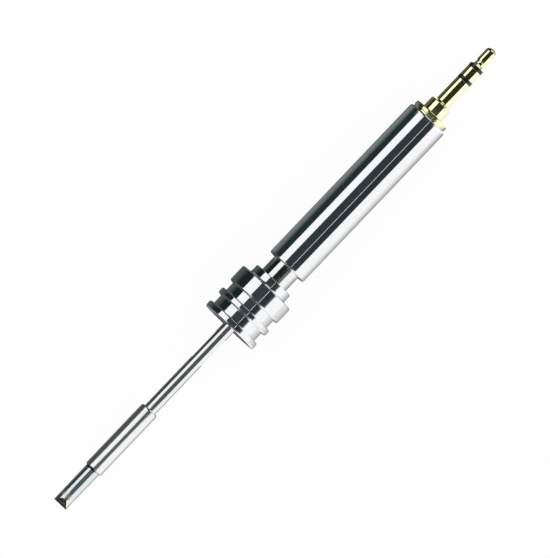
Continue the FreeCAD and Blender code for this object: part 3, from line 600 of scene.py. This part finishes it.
class BuildCollar(bpy.types.Operator):
    """Build the collar with its rings, grooves and shoulder"""

    bl_idname = "tip.collar"
    bl_label = "Collar"
    bl_options = {"REGISTER", "UNDO"}

    def execute(self, context):
        s = context.scene.tip_sizes
        front, ring_1, ring_2, ring_2_rear, ring_3, ring_3_rear, rear = collar_places(s)
        ring = s.ring_diameter / 2
        groove = ring - s.groove_depth
        shoulder = ring - s.shoulder_step
        socket = rear - s.collar_socket
        corners = [
            (front, s.stem_diameter / 2, 0.0),
            (front, ring, s.ring_round),
            (ring_1, ring, s.ring_round),
            (ring_1, groove, s.groove_round),
            (ring_2, groove, s.groove_round),
            (ring_2, ring, s.ring_round),
            (ring_2_rear, ring, s.ring_round),
            (ring_2_rear, groove, s.groove_round),
            (ring_3, groove, s.groove_round),
            (ring_3, ring, s.ring_round),
            (ring_3_rear, ring, s.ring_round),
            (ring_3_rear, shoulder, s.shoulder_root),
            (rear, shoulder, s.shoulder_round),
            (rear, s.neck_diameter / 2, 0.0),
            (socket, s.neck_diameter / 2, 0.0),
            (socket, s.stem_diameter / 2, 0.0),
        ]
        chrome = finish_named(context, "bright plating")
        add_turned("ribbed_collar", corners, chrome, "collar")
        return {"FINISHED"}


class BuildNeck(bpy.types.Operator):
    """Build the neck"""

    bl_idname = "tip.neck"
    bl_label = "Neck"
    bl_options = {"REGISTER", "UNDO"}

    def execute(self, context):
        s = context.scene.tip_sizes
        collar_rear = collar_places(s)[-1]
        front = collar_rear - s.collar_socket
        rear = collar_rear + s.neck_reach + s.barrel_front_wall
        wall = front + s.neck_front_wall
        outer = s.neck_diameter / 2
        inner = outer - s.neck_wall
        corners = [(front, s.stem_diameter / 2, 0.0), (front, outer, 0.0), (rear, outer, 0.0),
                   (rear, inner, 0.0), (wall, inner, 0.0), (wall, s.stem_diameter / 2, 0.0)]
        add_turned("neck", corners, finish_named(context, "neck steel"), "neck_tube")
        return {"FINISHED"}


def barrel_places(s):
    """Front and rear of the barrel."""
    front = collar_places(s)[-1] + s.neck_reach
    return front, front + s.barrel_length


class BuildBarrel(bpy.types.Operator):
    """Build the barrel"""

    bl_idname = "tip.barrel"
    bl_label = "Barrel"
    bl_options = {"REGISTER", "UNDO"}

    def execute(self, context):
        s = context.scene.tip_sizes
        front, rear = barrel_places(s)
        outer = s.barrel_diameter / 2
        inner = outer - s.barrel_wall
        wall = front + s.barrel_front_wall
        corners = [
            (front, s.neck_diameter / 2, 0.0),
            (front, outer, s.barrel_front_round),
            (rear, outer, s.barrel_rear_round),
            (rear, inner, 0.0),
            (wall, inner, 0.0),
            (wall, s.neck_diameter / 2, 0.0),
        ]
        chrome = finish_named(context, "bright plating")
        add_turned("plated_barrel", corners, chrome, "barrel")
        return {"FINISHED"}


class BuildPlug(bpy.types.Operator):
    """Build the three contacts of the plug and the two insulators between them"""

    bl_idname = "tip.plug"
    bl_label = "Plug"
    bl_options = {"REGISTER", "UNDO"}

    def execute(self, context):
        s = context.scene.tip_sizes
        gold = finish_named(context, "gold plating")
        black = finish_named(context, "insulator plastic")
        _, barrel_rear = barrel_places(s)
        spigot = barrel_rear - s.spigot_length
        flange, flange_rear, shoulder_rear, sleeve_rear, ring_front, ring_rear, tip_front = along(
            barrel_rear + s.flange_gap, s.flange_width, s.plug_shoulder_length, s.plug_sleeve_length,
            s.insulator_rear_width, s.ring_contact_width, s.insulator_front_width)
        bore = s.barrel_diameter / 2 - s.barrel_wall
        rod = s.rod_diameter / 2
        front_tube = rod + s.insulator_wall
        ring_tube = front_tube + s.ring_tube_wall
        rear_tube = ring_tube + s.insulator_wall + s.rear_insulator_extra
        lug_front = spigot - s.washer_thickness - s.lug_thickness
        rod_front = lug_front - s.washer_thickness - s.lug_thickness - s.rod_projection
        plug = s.plug_diameter / 2
        fine = s.fine_break
        soft = fine * 2

        add_turned("plug_sleeve", [
            (spigot, rear_tube, 0.0),
            (spigot, bore, 0.0),
            (flange, bore, 0.0),
            (flange, s.flange_diameter / 2, s.flange_round),
            (flange_rear, s.flange_diameter / 2, s.flange_round),
            (flange_rear, s.plug_shoulder_diameter / 2, soft),
            (shoulder_rear - s.plug_cone_length, s.plug_shoulder_diameter / 2, soft),
            (shoulder_rear, plug, soft),
            (sleeve_rear, plug, fine),
            (sleeve_rear, rear_tube, 0.0),
        ], gold, "sleeve_contact")
        add_turned("plug_insulator_rear", [
            (spigot, ring_tube, 0.0),
            (spigot, rear_tube, 0.0),
            (sleeve_rear, rear_tube, 0.0),
            (sleeve_rear, plug, fine),
            (ring_front, plug, fine),
            (ring_front, ring_tube, 0.0),
        ], black, "insulator_rear")
        add_turned("plug_ring", [
            (lug_front, front_tube, 0.0),
            (lug_front, ring_tube, 0.0),
            (ring_front, ring_tube, 0.0),
            (ring_front, plug, fine),
            (ring_rear, plug, fine),
            (ring_rear, front_tube, 0.0),
        ], gold, "ring_contact")
        add_turned("plug_insulator_front", [
            (lug_front, rod, 0.0),
            (lug_front, front_tube, 0.0),
            (ring_rear, front_tube, 0.0),
            (ring_rear, plug, fine),
            (tip_front, plug, fine),
            (tip_front, rod, 0.0),
        ], black, "insulator_front")
        neck_front, neck_rear, head_front, nose = along(
            tip_front + s.tip_cone_length, s.tip_neck_length, s.tip_ramp_length, s.tip_head_length)
        add_turned("plug_tip", [
            (rod_front, 0.0, 0.0),
            (rod_front, rod, fine),
            (tip_front, rod, 0.0),
            (tip_front, s.tip_rear_diameter / 2, fine),
            (neck_front, s.tip_neck_diameter / 2, fine),
            (neck_rear, s.tip_neck_diameter / 2, fine),
            (head_front, s.tip_head_diameter / 2, soft),
            (nose, s.tip_head_diameter / 2, s.tip_nose_round),
            (nose, 0.0, 0.0),
        ], gold, "tip_contact", closed=False, segments=10)
        return {"FINISHED"}


class FinishInside(bpy.types.Operator):
    """Give the pieces inside their finishes"""

    bl_idname = "tip.inside"
    bl_label = "Inner finishes"
    bl_options = {"REGISTER", "UNDO"}

    def execute(self, context):
        finishes = {
            plain_finish("fired ceramic", (0.86, 0.85, 0.80), 0.55): (
                "heater_core", "coil_insulator", "lead_insulator"),
            plain_finish("ceramic cement", (0.70, 0.68, 0.61), 0.9, 0.0, 6.0, 0.03): ("lead_seal",),
            plain_finish("resistance ribbon", (0.42, 0.39, 0.37), 0.38, 1.0, 5.0): (
                "heater_coil", "sensor_bead"),
            plain_finish("lead wire", (0.60, 0.56, 0.50), 0.3, 1.0, 5.0): ("lead_positive", "lead_negative"),
            plain_finish("insulating film", (0.68, 0.50, 0.20), 0.35, 0.0, 2.0): ("barrel_liner",),
            plain_finish("tinned crimp", (0.74, 0.73, 0.70), 0.32, 1.0, 4.0): (
                "splice_positive", "splice_negative"),
            plain_finish("shrink sleeve", (0.02, 0.02, 0.022), 0.5, 0.0, 4.0): (
                "shrink_sleeve_positive", "shrink_sleeve_negative"),
            plain_finish("red jacket", (0.50, 0.035, 0.025), 0.38, 0.0, 3.0): ("wire_positive",),
            plain_finish("black jacket", (0.022, 0.022, 0.026), 0.38, 0.0, 3.0): ("wire_negative",),
            plain_finish("vulcanised fibre", (0.30, 0.09, 0.06), 0.65, 0.0, 7.0, 0.015): (
                "ring_lug_washer", "tip_lug_washer"),
            plain_finish("stamped brass", (0.72, 0.58, 0.28), 0.28, 1.0, 3.0): ("ring_lug", "tip_lug"),
            plain_finish("solder", (0.70, 0.70, 0.68), 0.3, 1.0, 2.0, 0.03): (
                "ring_solder_joint", "tip_solder_joint"),
        }
        for material, names in finishes.items():
            for name in names:
                node = frame["nodes"][name]
                node.data.materials.clear()
                node.data.materials.append(material)
        return {"FINISHED"}


# Stage

# Glowing cards seen only in reflections: painted reflections, the dark and light bands that each stretch of
# the part mirrors.
# Each card: first and last place on the part that mirror it, first and last angle, and its colour.
# Places are millimetres from the chisel edge. Angles are degrees from straight up, positive toward -Y.
CARDS = (
    ("front centre flag", -250.0, -60.0, -35.0, 50.0, (0.022, 0.030, 0.025)),
    ("bit upper flag", -250.0, 7.3, -96.0, -66.0, (0.028, 0.040, 0.040)),
    ("bit centre flag", -60.0, 7.3, -17.0, 38.0, (0.088, 0.108, 0.114)),
    ("sleeve upper flag", 7.3, 19.7, -96.0, -58.0, (0.088, 0.096, 0.098)),
    ("sleeve centre flag", 7.3, 19.7, -9.0, 30.0, (0.110, 0.118, 0.120)),
    ("stem upper flag", 19.7, 35.8, -96.0, -66.0, (0.042, 0.047, 0.050)),
    ("stem centre flag", 19.7, 35.8, -20.0, 46.0, (0.088, 0.093, 0.096)),
    ("collar upper flag", 35.8, 46.9, -96.0, -60.5, (0.0105, 0.0185, 0.0200)),
    ("collar centre flag", 35.8, 46.9, -22.5, 15.4, (0.037, 0.050, 0.056)),
    ("collar lower flag", 35.8, 46.9, 16.7, 36.0, (0.024, 0.033, 0.039)),
    ("collar lower flag fade", 35.8, 46.9, 36.0, 42.5, (0.052, 0.060, 0.066)),
    ("collar lower flag end", 35.8, 46.9, 42.5, 46.0, (0.34, 0.35, 0.36)),
    ("neck upper flag", 46.9, 49.7, -96.0, -60.0, (0.0080, 0.0115, 0.0115)),
    ("neck centre flag", 46.9, 49.7, -22.8, 26.0, (0.0090, 0.0125, 0.0125)),
    ("neck lower flag", 46.9, 49.7, 26.0, 48.0, (0.180, 0.190, 0.190)),
    ("barrel upper flag", 49.7, 80.8, -96.0, -59.0, (0.0180, 0.0290, 0.0320)),
    ("barrel centre flag", 49.7, 80.8, -22.7, 16.4, (0.031, 0.041, 0.049)),
    ("barrel lower flag", 49.7, 80.8, 18.1, 50.5, (0.026, 0.034, 0.039)),
    ("plug upper flag", 80.8, 105.0, -96.0, -69.0, (0.0266, 0.0288, 0.0109)),
    ("plug upper light", 80.8, 100.0, -69.0, -35.0, (1.5, 1.5, 1.5)),
    ("flange centre flag", 80.8, 81.8, -31.0, 41.0, (0.145, 0.157, 0.110)),
    ("plug shoulder flag", 81.8, 84.0, -29.0, 40.0, (0.0266, 0.0288, 0.0150)),
    ("plug centre flag", 84.0, 105.0, -35.0, 46.0, (0.0266, 0.0288, 0.0150)),
    ("plug lower light", 80.8, 100.0, 46.0, 96.0, (1.5, 1.5, 1.5)),
    ("rear upper flag", 105.0, 118.0, -96.0, -66.0, (0.024, 0.028, 0.030)),
    ("rear centre flag", 105.0, 118.0, -28.0, 46.0, (0.024, 0.028, 0.030)),
    ("rear flag", 118.0, 250.0, -96.0, 60.0, (0.024, 0.028, 0.030)),
)
# Distance of these cards from the part's axis in metres, and steps in which they bend round it.
CARD_REACH = 0.1
CARD_STEPS = 24
# Glowing cards across the part's axis, seen only in reflections: place along it, lower and upper edge, edge
# on the -Y side and on the +Y side, all in metres, and colour. The nose of the plug mirrors the last, a
# painted glint.
UPRIGHT_CARDS = (
    ("front end card", -0.25, -0.05, 0.3, -0.02, 0.3, (0.02, 0.022, 0.025)),
    ("rear end card", 0.35, -0.05, 0.3, -0.1, 0.3, (0.025, 0.026, 0.02)),
    ("nose glint", 0.13, 0.004, 0.032, -0.014, 0.014, (1.0, 1.0, 1.0)),
)
# Floor cards, seen only in reflections, with painted shade of the floor beside the part: first and last
# place on the part beside them, their edge on the -Y side in millimetres, how bright their -Y side and their
# +Y side are, and the tint of the +Y side.
FLOOR_CARDS = (
    ("heater floor card", -250.0, 30.0, -60.0, 1.10, 0.65, (0.86, 0.97, 1.0)),
    ("stem end floor card", 30.0, 37.2, 6.0, 1.0, 0.6, (0.86, 0.97, 1.0)),
    ("collar floor card", 37.2, 49.5, -60.0, 0.94, 0.47, (0.86, 0.97, 1.0)),
    ("barrel floor card", 49.5, 81.8, -60.0, 1.08, 1.0, (0.86, 0.97, 1.0)),
    ("plug floor card", 81.8, 99.0, 3.0, 1.0, 0.6, (1.0, 1.0, 0.85)),
    ("nose floor card", 99.0, 250.0, -20.0, 0.2, 0.5, (1.0, 1.0, 0.85)),
)
# Floor cards of one colour, seen only in reflections: ends, left and right edge in millimetres, and colour.
# The collar's front face mirrors the first, painted shade at the collar's foot, and the lower side of the
# plug the second, a painted light patch.
PLAIN_FLOOR_CARDS = (
    ("collar front shade", 35.2, 37.2, -7.0, 6.0, (0.085, 0.09, 0.095)),
    ("plug floor light", 81.8, 99.0, -300.0, -2.5, (1.0, 1.0, 1.2)),
)
# How far the shading of the floor cards goes to each side in millimetres, their edge on the +Y side and
# their height in metres.
FLOOR_CARD_REACH = 60.0
FLOOR_CARD_END = 0.3
FLOOR_CARD_HEIGHT = 0.00005
# Half the floor's side in metres, and the white of its paper.
FLOOR_REACH = 3.0
PAPER = (0.97, 0.97, 0.97, 1.0)
# Brightness across a floor card, by millimetres from the part's axis, painted as the floor's shade. +Y is
# the darker side.
SHADY_SIDE = ((60.0, 0.040), (27.0, 0.105), (17.5, 0.155), (12.0, 0.20), (6.5, 0.24), (4.5, 0.03))
OPEN_SIDE = ((-2.5, 0.03), (-6.0, 0.36), (-9.5, 0.56), (-14.0, 0.72), (-22.0, 0.85), (-60.0, 0.91))


def glow_material(name, value):
    """A surface that only shines, for the cards of the stage."""
    material = bpy.data.materials.new(name)
    material.use_nodes = True
    tree = material.node_tree
    tree.nodes.clear()
    glow = tree.nodes.new("ShaderNodeEmission")
    glow.inputs["Color"].default_value = (*value, 1.0)
    output = tree.nodes.new("ShaderNodeOutputMaterial")
    tree.links.new(glow.outputs["Emission"], output.inputs["Surface"])
    return material


def stage_object(name, mesh_data, material, card=True):
    """An object of the stage. A card only shows in reflections."""
    mesh = bpy.data.meshes.new(name)
    mesh_data.to_mesh(mesh)
    mesh_data.free()
    mesh.materials.append(material)
    thing = bpy.data.objects.new(name, mesh)
    bpy.context.scene.collection.objects.link(thing)
    if card:
        thing.visible_camera = False
        thing.visible_diffuse = False
        thing.visible_shadow = False
        thing.visible_transmission = False
        thing.visible_volume_scatter = False
    return thing


def mirrored_place(place, middle, distance):
    """Where a card stands that the camera sees in the part at a place, both in metres along the part."""
    lean = REST.to_3x3() @ Vector((1, 0, 0))
    return place + CARD_REACH * (-lean.z + (place - middle) / distance)


def curved_card(card, middle, distance):
    """A glowing card bent round the part's axis, seen only in reflections as a painted reflection."""
    name, front, rear, start, end, value = card
    ends = [mirrored_place(place * MM, middle, distance) for place in (front, rear)]
    mesh_data = bmesh.new()
    rows = []
    for index in range(CARD_STEPS + 1):
        turn = math.radians(start + (end - start) * index / CARD_STEPS)
        across, upward = -math.sin(turn) * CARD_REACH, math.cos(turn) * CARD_REACH
        rows.append([mesh_data.verts.new((place, across, upward)) for place in ends])
    for row, following in zip(rows, rows[1:]):
        mesh_data.faces.new((row[0], row[1], following[1], following[0]))
    bmesh.ops.transform(mesh_data, matrix=REST, verts=mesh_data.verts)
    return stage_object(name, mesh_data, glow_material(name, value))


def upright_card(card):
    """A card across the part's axis."""
    name, place, low, high, left, right, value = card
    mesh_data = bmesh.new()
    corners = ((left, low), (right, low), (right, high), (left, high))
    mesh_data.faces.new([mesh_data.verts.new((place, across, upward)) for across, upward in corners])
    bmesh.ops.transform(mesh_data, matrix=REST, verts=mesh_data.verts)
    return stage_object(name, mesh_data, glow_material(name, value))


def flat_card(name, front, rear, left, right, material):
    """A level card just above the floor."""
    mesh_data = bmesh.new()
    corners = ((front, left), (rear, left), (rear, right), (front, right))
    mesh_data.faces.new([mesh_data.verts.new((x, y, FLOOR_CARD_HEIGHT)) for x, y in corners])
    return stage_object(name, mesh_data, material)


def floor_card(card, middle):
    """A flat glowing card just above the floor, seen only in reflections, with painted floor shade across
    the part.
    """
    name, front, rear, edge, open_level, shady_level, shady_tint = card
    reach = FLOOR_CARD_REACH * MM
    material = glow_material(name, (1.0, 1.0, 1.0))
    tree = material.node_tree
    source = tree.nodes.new("ShaderNodeTexCoord")
    across = coordinate(tree, source.outputs["Object"], "Y")
    ramp = tree.nodes.new("ShaderNodeValToRGB")
    tree.links.new(ranged(tree, across, 0.0, 1.0, -reach, reach), ramp.inputs["Fac"])
    tree.links.new(ramp.outputs["Color"], tree.nodes["Emission"].inputs["Color"])
    stops = [(place, tone * open_level, (1.0, 1.0, 1.0)) for place, tone in OPEN_SIDE]
    stops += [(place, tone * shady_level, shady_tint) for place, tone in SHADY_SIDE]
    stops.sort()
    elements = ramp.color_ramp.elements
    while len(elements) < len(stops):
        elements.new(0.5)
    for element, (place, tone, tint) in zip(elements, stops):
        element.position = (place / FLOOR_CARD_REACH + 1) / 2
        element.color = (*(tone * channel for channel in tint), 1.0)
    return flat_card(name, front * MM - middle, rear * MM - middle, edge * MM, FLOOR_CARD_END, material)


def plain_floor_card(card, middle):
    """A flat card of one colour just above the floor."""
    name, front, rear, left, right, value = card
    material = glow_material(name, value)
    return flat_card(name, front * MM - middle, rear * MM - middle, left * MM, right * MM, material)


def floor_material(glow_share):
    """White floor that keeps a faint shadow."""
    material = bpy.data.materials.new("white floor")
    material.use_nodes = True
    tree = material.node_tree
    tree.nodes.clear()
    paper = tree.nodes.new("ShaderNodeBsdfDiffuse")
    paper.inputs["Color"].default_value = PAPER
    glow = tree.nodes.new("ShaderNodeEmission")
    path = tree.nodes.new("ShaderNodeLightPath")
    seen = path.outputs["Is Camera Ray"]
    for kind in ("Is Glossy Ray", "Is Transmission Ray"):
        seen = calculated(tree, "ADD", seen, path.outputs[kind], clamp=True)
    blend = tree.nodes.new("ShaderNodeMixShader")
    output = tree.nodes.new("ShaderNodeOutputMaterial")
    tree.links.new(calculated(tree, "MULTIPLY", seen, glow_share), blend.inputs["Fac"])
    tree.links.new(paper.outputs["BSDF"], blend.inputs[1])
    tree.links.new(glow.outputs["Emission"], blend.inputs[2])
    tree.links.new(blend.outputs["Shader"], output.inputs["Surface"])
    return material


class SetStage(bpy.types.Operator):
    """Set the white floor, the light, the cards that the metal mirrors, and the camera"""

    bl_idname = "tip.stage"
    bl_label = "Stage"
    bl_options = {"REGISTER", "UNDO"}

    def execute(self, context):
        s = context.scene.tip_sizes
        scene = context.scene
        settings = scene.tip_stage
        scene.view_settings.view_transform = "Standard"

        mesh_data = bmesh.new()
        bmesh.ops.create_grid(mesh_data, x_segments=1, y_segments=1, size=FLOOR_REACH)
        stage_object("floor", mesh_data, floor_material(settings.floor_glow), card=False)

        half = self.whole_length(s) / 2
        distance = settings.picture_height * settings.lens / SENSOR_WIDTH
        for card in CARDS:
            curved_card(card, half, distance)
        for card in FLOOR_CARDS:
            floor_card(card, half)
        for card in PLAIN_FLOOR_CARDS:
            plain_floor_card(card, half)
        for card in UPRIGHT_CARDS:
            upright_card(card)

        world = bpy.data.worlds.new("white world")
        world.use_nodes = True
        background = world.node_tree.nodes["Background"]
        background.inputs["Color"].default_value = (1.0, 1.0, 1.0, 1.0)
        background.inputs["Strength"].default_value = settings.world_strength
        scene.world = world

        camera_data = bpy.data.cameras.new("camera")
        camera_data.sensor_width = SENSOR_WIDTH
        camera_data.lens = settings.lens
        camera_data.clip_end = 100.0
        camera = bpy.data.objects.new("camera", camera_data)
        turn = settings.camera_turn
        right = Vector((math.cos(turn), math.sin(turn), 0.0))
        upward = Vector((-math.sin(turn), math.cos(turn), 0.0))
        middle = REST @ Vector((half, 0.0, 0.0))
        place = middle - right * settings.shift_right - upward * settings.shift_up
        camera.location = (place.x, place.y, middle.z + distance)
        camera.rotation_euler = (0.0, 0.0, turn)
        scene.collection.objects.link(camera)
        scene.camera = camera
        return {"FINISHED"}

    def whole_length(self, s):
        """Chisel edge to the nose of the plug."""
        _, barrel_rear = barrel_places(s)
        return sum((barrel_rear, s.flange_gap, s.flange_width, s.plug_shoulder_length, s.plug_sleeve_length,
                    s.insulator_rear_width, s.ring_contact_width, s.insulator_front_width, s.tip_cone_length,
                    s.tip_neck_length, s.tip_ramp_length, s.tip_head_length))


# Add-on

OPERATORS = (BuildBit, BuildSleeve, BuildStem, BuildCollar, BuildNeck, BuildBarrel, BuildPlug, FinishInside,
             SetStage)


class TipPanel(bpy.types.Panel):
    """Buttons for each piece and for the stage."""

    bl_idname = "VIEW3D_PT_soldering_tip"
    bl_label = "Soldering iron tip"
    bl_space_type = "VIEW_3D"
    bl_region_type = "UI"
    bl_category = "Soldering tip"

    def draw(self, context):
        for operator in OPERATORS:
            self.layout.operator(operator.bl_idname)


CLASSES = (TipSizes, TipFinishes, TipStage, *OPERATORS, TipPanel)


def register():
    for item in CLASSES:
        bpy.utils.register_class(item)
    bpy.types.Scene.tip_sizes = bpy.props.PointerProperty(type=TipSizes)
    bpy.types.Scene.tip_finishes = bpy.props.PointerProperty(type=TipFinishes)
    bpy.types.Scene.tip_stage = bpy.props.PointerProperty(type=TipStage)


def unregister():
    del bpy.types.Scene.tip_stage
    del bpy.types.Scene.tip_finishes
    del bpy.types.Scene.tip_sizes
    for item in reversed(CLASSES):
        bpy.utils.unregister_class(item)


def main():
    """Build every piece and the stage."""
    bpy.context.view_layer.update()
    register()
    bpy.ops.tip.chisel_bit()
    bpy.ops.tip.heater_sleeve()
    bpy.ops.tip.stem()
    bpy.ops.tip.collar()
    bpy.ops.tip.neck()
    bpy.ops.tip.barrel()
    bpy.ops.tip.plug()
    bpy.ops.tip.inside()
    bpy.ops.tip.stage()


if __name__ == "__main__":
    main()
